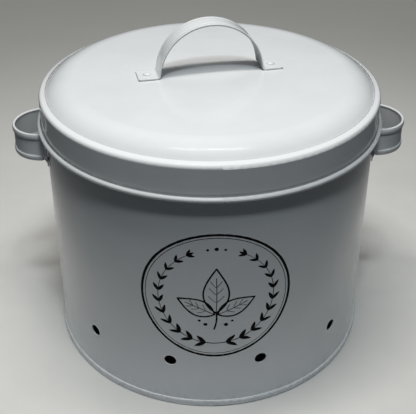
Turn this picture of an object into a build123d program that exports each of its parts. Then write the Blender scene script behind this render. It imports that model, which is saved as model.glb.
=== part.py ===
from build123d import *
import os
from math import acos, asin, cos, degrees, hypot, radians, sin, sqrt, tan

# Round lidded storage bin of painted sheet steel.
# +Z is up, -Y is the printed front, and the origin is the centre of the base on the floor.
# Every length is in millimetres and every angle in degrees.

# ---- sheet and fits ----
SHEET = 0.8                 # steel sheet of the wall, base and lid
SEAT_GAP = 0.3              # gap left between two seated sheets
LID_REST_GAP = 0.3          # gap under the lid where it rests on the top curl
LID_PLAY = 1.6              # between the wall and the inside of the lid's skirt
HOLE_PLAY = 0.2             # play round a rivet shank, on the radius
CURL_TURN = 270.0           # how far the rolled edges of the wall and the lid are turned

# ---- wall ----
WALL_R = 127.6              # outside of the wall
BODY_TOP_Z = 208.4          # top of the bin without its lid
TOP_CURL_R = 1.4            # radius of the top curl, to the middle of the sheet
VENT_COUNT = 12
VENT_R = 4.5
VENT_Z = 42.4
VENT_FIRST = 15.0           # azimuth of the first vent hole
SEAM_AZIMUTH = 90.0         # the side seam is at the back
SEAM_WIDTH = 6.0
SEAM_PROUD = 0.7
SEAM_GROOVE = 0.5           # fine line along the seam's folded edge
SEAM_FOOT_Z = 8.0
SEAM_TOP_DROP = 7.0         # from the top of the bin to the top of the seam

# ---- base ----
PAN_Z = 5.0                 # top of the base sheet at its edge
PAN_CORNER_R = 1.5
PANEL_SINK = 1.0            # how far the middle of the base is pressed down
PANEL_MARGIN = 14.0         # flat ring left between the pressed panel and the wall
PANEL_BEND_R = 3.0
CHIME_GAP = 0.5             # between the wall and the outer leg of the seam under it
CHIME_TURN_R = 0.9          # bends under the wall's edge, middle of the sheet
CHIME_TOP_Z = 4.4           # where the outer leg starts to lean in
CHIME_LEAN_R = 0.8
CHIME_LEAN = 45.0

# ---- lid ----
RING_WIDTH = 5.0            # crowned ring round the lid
RING_PITCH = 20.0           # how steeply the ring slopes down outwards
RING_SEAT = 0.1             # paint line between the ring and the dome's rim
SKIRT_DEPTH = 27.3          # from the top of the ring to the bottom of the rolled bead
SKIRT_CORNER_R = 2.6        # bend from ring to skirt, middle of the sheet
SKIRT_CURL_R = 1.55         # rolled bead, to the middle of the sheet
DOME_RISE = 7.4             # flat top above the ring
DOME_SHOULDER_R = 27.0      # outside radius of the dome's shoulder
DOME_FOOT_R = 1.0           # bend from shoulder to rim, middle of the sheet
DOME_FOOT_OUT = 0.1         # that bend's centre outside the ring's inner edge

# ---- lid handle ----
GRIP_TURN = 10.7            # the handle's azimuth about the lid's axis
GRIP_SHEET = 1.5
GRIP_WIDTH = 18.0
GRIP_R = 40.5               # outside radius of the half circle
GRIP_BEND_R = 3.0           # bend from half circle to foot, middle of the strip
GRIP_FOOT_LENGTH = 13.4
GRIP_RIVET_INSET = 7.4      # from the end of the foot
GRIP_CORNER_R = 2.0
GRIP_EDGE_R = 0.35

# ---- side handles ----
EAR_DROP = 6.0              # from the lid's bead down to the handle
EAR_HEIGHT = 23.0
EAR_STRIP = 1.0
EAR_CURL_R = 1.6            # rolled edges, to the middle of the strip
EAR_CURL_TURN = 300.0
EAR_JOG = 0.8               # how far the web is pressed in from the middle of the rolled edges
EAR_HALF_WIDTH = 24.5       # outside of the rolled edges
EAR_BEND_R = 3.0
EAR_CURL_STOP = 0.6         # flat strip between the bend and the start of the rolled edges
EAR_LEAD = 0.8              # straight stretch of rolled edge before the loop
EAR_FOOT_LENGTH = 12.0      # along the wall, from the bend
EAR_FOOT_INSET = 0.4        # foot's edge inside the loop's edge
EAR_FOOT_CORNER_R = 3.0
EAR_RIVET_INSET = 5.0       # from the end of the foot
EAR_RIVET_EDGE = 5.3        # from the upper or lower edge of the foot

# ---- rivets ----
HEAD_R = 2.8
HEAD_RISE = 1.3
SHANK_R = 1.5
TAIL_R = 2.3
TAIL_RISE = 0.9
TAIL_EDGE_R = 0.3
TAIL_SEAT = 0.1             # keeps a flat tail off the curved inside of the wall

# ---- worked out from the above ----
HALF_SHEET = SHEET / 2
CUT_LENGTH = 4 * (SHEET + SEAT_GAP + EAR_STRIP)     # cutters reach well past the riveted sheets
WALL_MID_R = WALL_R - HALF_SHEET
WALL_IN_R = WALL_R - SHEET
CHIME_LEG_R = WALL_R + CHIME_GAP + HALF_SHEET
LID_R = WALL_R + LID_PLAY + SHEET
RING_IN_R = LID_R - RING_WIDTH
TOP_CURL_MID_R = WALL_MID_R - TOP_CURL_R
TOP_CURL_Z = BODY_TOP_Z - HALF_SHEET - TOP_CURL_R
RING_SIN = sin(radians(RING_PITCH))
RING_COS = cos(radians(RING_PITCH))
RIM_SINK = RING_SEAT + SHEET                  # middle of the rim under the middle of the ring
RING_REACH = TOP_CURL_R + SHEET + LID_REST_GAP + RIM_SINK     # middle of the curl to the ring
CORNER_MID_R = LID_R - HALF_SHEET - SKIRT_CORNER_R
CORNER_LEAN = (TOP_CURL_MID_R - CORNER_MID_R) * RING_SIN
CORNER_Z = TOP_CURL_Z + (RING_REACH - SKIRT_CORNER_R + CORNER_LEAN) / RING_COS
RING_END_R = CORNER_MID_R + SKIRT_CORNER_R * RING_SIN         # where the ring turns into the bend
RING_END_Z = CORNER_Z + SKIRT_CORNER_R * RING_COS
RIM_END_R = RING_END_R - RIM_SINK * RING_SIN
RIM_END_Z = RING_END_Z - RIM_SINK * RING_COS
RING_START_R = RING_IN_R + HALF_SHEET
RING_START_Z = RING_END_Z + (RING_END_R - RING_START_R) * tan(radians(RING_PITCH))
RING_Z = RING_START_Z + HALF_SHEET
DOME_TOP_Z = RING_Z + DOME_RISE
SKIRT_FOOT_Z = RING_Z - SKIRT_DEPTH
EAR_TOP_Z = SKIRT_FOOT_Z - EAR_DROP
EAR_MID_Z = EAR_TOP_Z - EAR_HEIGHT / 2
EAR_FOOT_HEIGHT = EAR_HEIGHT - 2 * EAR_FOOT_INSET
EAR_EDGE_R = EAR_CURL_R + EAR_STRIP / 2       # outside of a rolled edge
EAR_LOOP_R = EAR_HALF_WIDTH - EAR_EDGE_R      # middle of the rolled edges
EAR_WEB_Y = EAR_LOOP_R - EAR_JOG
EAR_FOOT_R = WALL_R + SEAT_GAP + EAR_STRIP / 2
EAR_BEND_AZ = degrees(asin((EAR_WEB_Y + EAR_BEND_R) / (EAR_FOOT_R + EAR_BEND_R)))
EAR_BEND_X = (EAR_FOOT_R + EAR_BEND_R) * cos(radians(EAR_BEND_AZ))
EAR_CURL_X = EAR_BEND_X + EAR_CURL_STOP
EAR_LOOP_X = EAR_CURL_X + EAR_LEAD
EAR_FOOT_ARC = degrees(EAR_FOOT_LENGTH / EAR_FOOT_R)
EAR_RIVET_AZ = EAR_BEND_AZ + EAR_FOOT_ARC - degrees(EAR_RIVET_INSET / EAR_FOOT_R)
EAR_RIVET_RISE = EAR_FOOT_HEIGHT / 2 - EAR_RIVET_EDGE
GRIP_MID_R = GRIP_R - GRIP_SHEET / 2
GRIP_BEND_Z = GRIP_SHEET / 2 + GRIP_BEND_R
GRIP_LIFT = degrees(asin(GRIP_BEND_Z / (GRIP_MID_R + GRIP_BEND_R)))
GRIP_BEND_X = (GRIP_MID_R + GRIP_BEND_R) * cos(radians(GRIP_LIFT))
GRIP_HALF_LENGTH = GRIP_BEND_X + GRIP_FOOT_LENGTH
GRIP_RIVET_X = GRIP_HALF_LENGTH - GRIP_RIVET_INSET


def sheet_face(path, thickness):
    """Section of a sheet of this thickness whose middle follows the path, with rounded raw edges."""
    return make_face(Wire(path.edges()).offset_2d(thickness / 2))


def off_axis(section):
    """Trim a section at the axis, where the rounded start of its sheet would cross it."""
    span = 2 * (LID_R + DOME_TOP_Z)
    return section & (Pos(span / 2, 0) * Rectangle(span, span))


def spin(face, start=0.0, arc=360.0, centre=(0.0, 0.0)):
    """Turn a section, drawn as radius across and height up, about a vertical line through the centre."""
    turned = revolve(Plane.XZ * face, Axis.Z, arc)
    return Pos(centre[0], centre[1], 0) * Rot(0, 0, start) * turned


def on_wall(azimuth, height, radius):
    """Place with +Z pointing straight out of the wall."""
    return Rot(0, 0, azimuth) * Pos(radius, 0, height) * Rot(0, 90, 0)


def from_axis(edge):
    """Distance of an edge's middle from the bin's axis."""
    middle = edge.center()
    return hypot(middle.X, middle.Y)


def rivet(grip):
    """Low round head above z = 0, shank down through the grip length, flat tail below it."""
    cap_r = (HEAD_R**2 + HEAD_RISE**2) / (2 * HEAD_RISE)
    fall = cap_r - sqrt(cap_r**2 - (HEAD_R / 2) ** 2)
    low = -grip - TAIL_RISE
    head = ThreePointArc((0, HEAD_RISE), (HEAD_R / 2, HEAD_RISE - fall), (HEAD_R, 0))
    shank = [(HEAD_R, 0), (SHANK_R, 0), (SHANK_R, -grip)]
    side = Polyline(*shank, (TAIL_R, -grip), (TAIL_R, low + TAIL_EDGE_R))
    edge = CenterArc((TAIL_R - TAIL_EDGE_R, low + TAIL_EDGE_R), TAIL_EDGE_R, 270, 90)
    core = Polyline((TAIL_R - TAIL_EDGE_R, low), (0, low), (0, HEAD_RISE))
    return spin(make_face(head + side + edge + core))


def shank_hole():
    """Cutter for a rivet's shank, centred on z = 0."""
    return Cylinder(SHANK_R + HOLE_PLAY, CUT_LENGTH)


def ear_rivet_places():
    """Azimuth from the handle's middle, and height, of the four rivets of a side handle."""
    for side in (-1, 1):
        for step in (-1, 1):
            yield side * EAR_RIVET_AZ, EAR_MID_Z + step * EAR_RIVET_RISE


def side_seam():
    """Folded seam up the back of the wall, with the fine line of its raw edge."""
    height = BODY_TOP_Z - SEAM_TOP_DROP - SEAM_FOOT_Z
    middle_z = SEAM_FOOT_Z + height / 2
    depth = HALF_SHEET + SEAM_PROUD
    arc = degrees(SEAM_WIDTH / WALL_R)
    fold = Pos(WALL_MID_R + depth / 2, middle_z) * Rectangle(depth, height)
    strip = spin(fold, SEAM_AZIMUTH - arc / 2, arc)
    long_edges = strip.edges().filter_by(Axis.Z).sort_by(from_axis)
    strip = fillet(long_edges[-2:], SEAM_PROUD / 2)
    line = Pos(WALL_R + SEAM_PROUD, middle_z) * Rectangle(SEAM_GROOVE, height)
    return strip - spin(line, SEAM_AZIMUTH + arc / 4, degrees(SEAM_GROOVE / WALL_R))


def body_wall():
    """Wall with its inward top curl, vent holes, back seam and rivet holes."""
    curl_z = BODY_TOP_Z - TOP_CURL_R - HALF_SHEET
    foot_z = SHEET + SEAT_GAP + HALF_SHEET
    rise = Line((WALL_MID_R, foot_z), (WALL_MID_R, curl_z))
    curl = CenterArc((WALL_MID_R - TOP_CURL_R, curl_z), TOP_CURL_R, 0, CURL_TURN)
    wall = spin(sheet_face(rise + curl, SHEET)) + side_seam()
    for k in range(VENT_COUNT):
        wall -= on_wall(VENT_FIRST + k * 360 / VENT_COUNT, VENT_Z, WALL_R) * Cylinder(VENT_R, CUT_LENGTH)
    for middle in (0, 180):
        for azimuth, height in ear_rivet_places():
            wall -= on_wall(middle + azimuth, height, WALL_R) * shank_hole()
    return wall


def base_pan():
    """Base sheet with a pressed panel, turned down inside the wall, under its edge and up outside it."""
    top = PAN_Z - HALF_SHEET
    low = HALF_SHEET
    leg_in = WALL_IN_R - SEAT_GAP - HALF_SHEET
    turn = CHIME_TURN_R
    out = CHIME_LEG_R
    bend = PANEL_BEND_R
    slope = degrees(acos(1 - PANEL_SINK / (2 * bend)))
    panel_out = leg_in - PANEL_MARGIN
    panel_in = panel_out - 2 * bend * sin(radians(slope))
    panel = Line((0, top - PANEL_SINK), (panel_in, top - PANEL_SINK))
    up = CenterArc((panel_in, top - PANEL_SINK + bend), bend, 270, slope)
    over = CenterArc((panel_out, top - bend), bend, 90, slope)
    margin = Line((panel_out, top), (leg_in - PAN_CORNER_R, top))
    corner = CenterArc((leg_in - PAN_CORNER_R, top - PAN_CORNER_R), PAN_CORNER_R, 0, 90)
    inner = Line((leg_in, top - PAN_CORNER_R), (leg_in, low + turn))
    under_in = CenterArc((leg_in + turn, low + turn), turn, 180, 90)
    foot = Line((leg_in + turn, low), (out - turn, low))
    under_out = CenterArc((out - turn, low + turn), turn, 270, 90)
    outer = Line((out, low + turn), (out, CHIME_TOP_Z))
    lean = CenterArc((out - CHIME_LEAN_R, CHIME_TOP_Z), CHIME_LEAN_R, 0, CHIME_LEAN)
    path = panel + up + over + margin + corner + inner + under_in + foot + under_out + outer + lean
    return spin(off_axis(sheet_face(path, SHEET)))


def lid_dome():
    """Lid top: flat disc, round shoulder, and a sloping rim held under the skirt's ring."""
    flat_z = DOME_TOP_Z - HALF_SHEET
    shoulder_z = DOME_TOP_Z - DOME_SHOULDER_R
    mid_r = DOME_SHOULDER_R - HALF_SHEET
    reach = mid_r + DOME_FOOT_R
    foot_r = RING_IN_R + DOME_FOOT_OUT
    rim_rise = (RIM_END_R - foot_r) * tan(radians(RING_PITCH))
    foot_z = RIM_END_Z + rim_rise + DOME_FOOT_R / RING_COS
    lean = degrees(asin((foot_z - shoulder_z) / reach))
    flat_r = foot_r - reach * cos(radians(lean))
    flat = Line((0, flat_z), (flat_r, flat_z))
    shoulder = CenterArc((flat_r, shoulder_z), mid_r, lean, 90 - lean)
    foot = CenterArc((foot_r, foot_z), DOME_FOOT_R, 180 + lean, 90 - RING_PITCH - lean)
    rim = Line(foot @ 1, (RIM_END_R, RIM_END_Z))
    dome = spin(off_axis(sheet_face(flat + shoulder + foot + rim, SHEET)))
    for side in (-1, 1):
        dome -= Rot(0, 0, GRIP_TURN) * Pos(side * GRIP_RIVET_X, 0, DOME_TOP_Z) * shank_hole()
    return dome


def lid_skirt():
    """Lid band: crowned ring over the dome's rim, vertical skirt, and an outward rolled bead."""
    mid = LID_R - HALF_SHEET
    curl_z = SKIRT_FOOT_Z + SKIRT_CURL_R + HALF_SHEET
    ring = Line((RING_START_R, RING_START_Z), (RING_END_R, RING_END_Z))
    corner = CenterArc((CORNER_MID_R, CORNER_Z), SKIRT_CORNER_R, 0, 90 - RING_PITCH)
    drop = Line((mid, CORNER_Z), (mid, curl_z))
    bead = CenterArc((mid + SKIRT_CURL_R, curl_z), SKIRT_CURL_R, 180, CURL_TURN)
    return spin(sheet_face(ring + corner + drop + bead, SHEET))


def lid_handle():
    """Strip bent into a half circle with two out-turned feet, standing on z = 0 along X."""
    foot_z = GRIP_SHEET / 2
    path = CenterArc((0, 0), GRIP_MID_R, GRIP_LIFT, 180 - 2 * GRIP_LIFT)
    path += CenterArc((GRIP_BEND_X, GRIP_BEND_Z), GRIP_BEND_R, 180 + GRIP_LIFT, 90 - GRIP_LIFT)
    path += CenterArc((-GRIP_BEND_X, GRIP_BEND_Z), GRIP_BEND_R, 270, 90 - GRIP_LIFT)
    for side in (-1, 1):
        path += Line((side * GRIP_BEND_X, foot_z), (side * GRIP_HALF_LENGTH, foot_z))
    # the rounded ends are trimmed square, and their corners are rounded in plan below
    outline = sheet_face(path, GRIP_SHEET) & Rectangle(2 * GRIP_HALF_LENGTH, 4 * GRIP_R)
    strip = extrude(Plane.XZ * outline, GRIP_WIDTH / 2, both=True)
    strip = fillet(strip.edges().filter_by(Axis.Z), GRIP_CORNER_R)
    strip = fillet(strip.faces().filter_by(Axis.Y).edges(), GRIP_EDGE_R)
    for side in (-1, 1):
        strip -= Pos(side * GRIP_RIVET_X, 0, 0) * shank_hole()
    return strip


def ear_section():
    """Section of the side handle's strip: a web pressed in between two rolled edges."""
    bend_rise = EAR_CURL_R + EAR_JOG
    low = EAR_MID_Z - EAR_HEIGHT / 2 + EAR_EDGE_R
    top = EAR_TOP_Z - EAR_EDGE_R
    path = Line((-EAR_JOG, low + bend_rise), (-EAR_JOG, top - bend_rise))
    path += CenterArc((0, low + bend_rise), EAR_JOG, 180, 90)
    path += CenterArc((0, low), EAR_CURL_R, 90 - EAR_CURL_TURN, EAR_CURL_TURN)
    path += CenterArc((0, top - bend_rise), EAR_JOG, 90, 90)
    path += CenterArc((0, top), EAR_CURL_R, -90, EAR_CURL_TURN)
    return sheet_face(path, EAR_STRIP)


def ear_side():
    """Half of a side handle at positive Y: quarter loop, lead to the wall, bend and foot."""
    section = ear_section()
    plate = Rectangle(EAR_STRIP, EAR_FOOT_HEIGHT)
    loop = spin(Pos(EAR_LOOP_R, 0) * section, 0, 90, (EAR_LOOP_X, 0))
    lead = Pos(EAR_CURL_X, EAR_LOOP_R, 0) * extrude(Plane.YZ * section, EAR_LEAD)
    neck = Pos(EAR_BEND_X, EAR_WEB_Y, EAR_MID_Z) * extrude(Plane.YZ * plate, EAR_CURL_STOP)
    bend_centre = (EAR_BEND_X, EAR_WEB_Y + EAR_BEND_R)
    bend = spin(Pos(EAR_BEND_R, EAR_MID_Z) * plate, 180 + EAR_BEND_AZ, 90 - EAR_BEND_AZ, bend_centre)
    foot = spin(Pos(EAR_FOOT_R, EAR_MID_Z) * plate, EAR_BEND_AZ, EAR_FOOT_ARC)
    tip = foot.faces().sort_by(Axis.Y)[-1]
    foot = fillet(tip.edges().filter_by(Axis.Z, reverse=True), EAR_FOOT_CORNER_R)
    return loop + lead + neck + bend + foot


def side_handle():
    """Whole side handle, at positive X."""
    half = ear_side()
    ear = half + mirror(half, Plane.XZ)
    for azimuth, height in ear_rivet_places():
        ear -= on_wall(azimuth, height, WALL_R) * shank_hole()
    return ear


def save(name, solid):
    """Write one named piece."""
    if isinstance(solid, (list, ShapeList)) or len(solid.solids()) != 1:
        raise ValueError(name + " is not one solid")
    one = solid.solids()[0]
    one.label = name
    export_step(one, "parts/" + name + ".step")


def main():
    os.makedirs("parts", exist_ok=True)
    save("body_wall", body_wall())
    save("base_pan", base_pan())
    save("lid_dome", lid_dome())
    save("lid_skirt", lid_skirt())
    save("lid_handle", Pos(0, 0, DOME_TOP_Z) * Rot(0, 0, GRIP_TURN) * lid_handle())
    lid_rivet = rivet(GRIP_SHEET + SHEET)
    for name, side in (("near", -1), ("far", 1)):
        spot = Rot(0, 0, GRIP_TURN) * Pos(side * GRIP_RIVET_X, 0, DOME_TOP_Z + GRIP_SHEET)
        save("lid_rivet_" + name, spot * lid_rivet)
    handle = side_handle()
    save("right_handle", handle)
    save("left_handle", Rot(0, 0, 180) * handle)
    wall_rivet = rivet(EAR_STRIP + SEAT_GAP + SHEET + TAIL_SEAT)
    for name, middle in (("right", 0), ("left", 180)):
        for k, (azimuth, height) in enumerate(ear_rivet_places(), 1):
            spot = on_wall(middle + azimuth, height, EAR_FOOT_R + EAR_STRIP / 2)
            save(name + "_handle_rivet_" + str(k), spot * wall_rivet)


if __name__ == "__main__":
    main()
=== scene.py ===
import logging
import math
from dataclasses import dataclass, replace
from enum import Enum
from typing import Optional, Sequence

import bmesh
import bpy
import numpy as np
from mathutils import Matrix, Vector


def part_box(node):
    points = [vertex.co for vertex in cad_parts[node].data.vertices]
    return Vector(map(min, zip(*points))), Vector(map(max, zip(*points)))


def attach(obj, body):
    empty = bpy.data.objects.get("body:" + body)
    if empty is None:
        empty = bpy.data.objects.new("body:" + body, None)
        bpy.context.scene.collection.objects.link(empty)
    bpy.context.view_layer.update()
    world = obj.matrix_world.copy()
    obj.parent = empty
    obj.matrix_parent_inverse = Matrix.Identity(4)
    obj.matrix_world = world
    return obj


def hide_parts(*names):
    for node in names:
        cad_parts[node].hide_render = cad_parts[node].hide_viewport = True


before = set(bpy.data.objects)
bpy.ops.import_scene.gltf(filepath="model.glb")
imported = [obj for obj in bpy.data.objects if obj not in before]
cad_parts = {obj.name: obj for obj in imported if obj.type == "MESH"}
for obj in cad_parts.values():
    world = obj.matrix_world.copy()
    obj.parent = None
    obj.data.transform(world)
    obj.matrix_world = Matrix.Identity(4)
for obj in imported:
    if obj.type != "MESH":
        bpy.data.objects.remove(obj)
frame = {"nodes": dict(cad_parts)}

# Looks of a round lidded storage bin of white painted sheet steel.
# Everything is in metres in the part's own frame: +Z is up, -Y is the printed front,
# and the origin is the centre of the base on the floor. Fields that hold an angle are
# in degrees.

MM = 0.001
WELD = 0.0005 * MM              # vertices nearer than this are one
COLLAPSED = WELD / 10           # an edge shorter than this has no length
TINY = 1e-12                    # keeps a direction of no length from dividing by nought
POINT = 0.001 * MM              # half width of ink at a round end
LEAF_POINT = 0.01 * MM          # half width of ink at a leaf's tip
FRONT = -90.0                   # azimuth of the printed front
NOISE_MIDDLE = 0.5
MIX_A, MIX_B, MIXED = 6, 7, 2   # the Mix node's colour sockets
BLACK = (0.0, 0.0, 0.0)
UP = np.array([0.0, 0.0, 1.0])
LOG = logging.getLogger("storage_bin")
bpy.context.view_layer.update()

Colour = tuple[float, float, float]
Pair = tuple[float, float]
Points = np.ndarray
Socket = bpy.types.NodeSocket
Thing = bpy.types.Object
Nodes = dict[str, Thing]


# ----- Mesh help -----

def circle(angle: Points | float) -> Points:
    """Points (cos a, sin a) of the unit circle, for angles in radians."""
    return np.stack([np.cos(angle), np.sin(angle)], axis=-1)


def full_turn(count: int) -> Points:
    """Even angles all the way round, in radians."""
    return np.linspace(0.0, 2 * np.pi, count, endpoint=False)


def oval(centre: Pair, radii: Pair, count: int) -> Points:
    """Closed oval about a centre: angle a gives (c1 + p cos a, c2 + q sin a)."""
    return circle(full_turn(count)) * radii + centre


def spun(x: Points, y: Points, turn: float) -> tuple[Points, Points]:
    """Places turned by an angle in degrees: (x cos a - y sin a, x sin a + y cos a)."""
    c, s = math.cos(math.radians(turn)), math.sin(math.radians(turn))
    return x * c - y * s, x * s + y * c


def smooth_step(share: Points) -> Points:
    """Smooth step t^2 (3 - 2 t), with the share t held between 0 and 1."""
    t = np.clip(share, 0.0, 1.0)
    return t**2 * (3 - 2 * t)


def sides(along: Points) -> Points:
    """Unit directions to the left of flat directions."""
    along = along / np.maximum(np.linalg.norm(along, axis=1, keepdims=True), TINY)
    return np.stack([-along[:, 1], along[:, 0]], axis=1)


def corner_places(corner: float, count: int) -> Points:
    """Distances c (1 - cos a) from a strip's end, from 0 to its corners' radius c."""
    return (1 - np.cos(np.linspace(0.0, np.pi / 2, count))) * corner


def rounded_half(half: float, corner: float, gap: Points) -> Points:
    """Half width w - c + (c^2 - (c - d)^2)^0.5 of a strip at distance d from its end."""
    return half - corner + np.sqrt(np.clip(corner**2 - (corner - gap) ** 2, 0.0, None))


def ends_twice(rows: Points) -> Points:
    """The same rows with the first and the last one twice."""
    return np.concatenate([rows[:1], rows, rows[-1:]])


@dataclass(frozen=True)
class Shell:
    """Vertices and quads of one closed surface, before they are put into a mesh."""

    points: Points
    quads: np.ndarray

    @staticmethod
    def of_grid(grid: Points, loop_rows: bool, loop_columns: bool) -> "Shell":
        """Join a grid of points into quads.

        Args:
            grid: Points in rows and columns, shape (rows, columns, 3).
            loop_rows: Whether the last row joins the first.
            loop_columns: Whether the last column joins the first.

        Returns:
            The shell, one quad for each cell of the grid.
        """
        rows, columns = grid.shape[:2]
        index = np.arange(rows * columns).reshape(rows, columns)
        if loop_rows:
            index = np.vstack([index, index[:1]])
        if loop_columns:
            index = np.hstack([index, index[:, :1]])
        corners = [index[:-1, :-1], index[:-1, 1:], index[1:, 1:], index[1:, :-1]]
        return Shell(grid.reshape(-1, 3), np.stack(corners, axis=-1).reshape(-1, 4))

    @staticmethod
    def joined(shells: Sequence["Shell"]) -> "Shell":
        """Put several shells into one, each keeping its own vertices.

        Args:
            shells: The shells to join.

        Returns:
            One shell that holds them all.
        """
        starts = np.cumsum([0] + [len(shell.points) for shell in shells[:-1]])
        quads = [shell.quads + start for shell, start in zip(shells, starts)]
        return Shell(np.vstack([shell.points for shell in shells]), np.vstack(quads))

    def to_object(self, name: str, weld: bool = False) -> Thing:
        """Make a smooth-shaded Blender object of the shell, with its normals outwards.

        Args:
            name: The new object's name.
            weld: Whether vertices that lie together are made one.

        Returns:
            The object, at the origin, linked to the scene.
        """
        mesh = bpy.data.meshes.new(name)
        mesh.vertices.add(len(self.points))
        mesh.vertices.foreach_set("co", self.points.astype(np.float32).ravel())
        mesh.loops.add(self.quads.size)
        mesh.loops.foreach_set("vertex_index", self.quads.astype(np.int32).ravel())
        mesh.polygons.add(len(self.quads))
        starts = np.arange(0, self.quads.size, self.quads.shape[1], dtype=np.int32)
        mesh.polygons.foreach_set("loop_start", starts)
        mesh.update(calc_edges=True)
        mend(mesh, weld)
        mesh.polygons.foreach_set("use_smooth", np.ones(len(mesh.polygons), dtype=bool))
        mesh.update()
        thing = bpy.data.objects.new(name, mesh)
        bpy.context.scene.collection.objects.link(thing)
        return thing


def mend(mesh: bpy.types.Mesh, weld: bool) -> None:
    """Point a mesh's normals outwards, after welding and dropping collapsed faces if asked.

    Args:
        mesh: The mesh to mend.
        weld: Whether vertices that lie together are made one.
    """
    work = bmesh.new()
    work.from_mesh(mesh)
    if weld:
        bmesh.ops.remove_doubles(work, verts=work.verts, dist=WELD)
        bmesh.ops.dissolve_degenerate(work, edges=work.edges, dist=COLLAPSED)
    bmesh.ops.recalc_face_normals(work, faces=work.faces)
    work.to_mesh(mesh)
    work.free()


def set_material(thing: Thing, material: bpy.types.Material) -> None:
    """Give an object one material in its first slot.

    Args:
        thing: The object.
        material: Its material.
    """
    if thing.data.materials:
        thing.data.materials[0] = material
    else:
        thing.data.materials.append(material)


# ----- Finishes -----

@dataclass(frozen=True)
class Mottle:
    """Soft noise stepped into patches.

    The size is that of a feature in metres, detail is the octaves of finer noise and
    rough their weight. The patches go from start to end as the noise, whose middle is
    0.5, goes from low to high.
    """

    size: float
    detail: float
    rough: float
    low: float
    high: float
    start: float = 0.0
    end: float = 1.0


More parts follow.
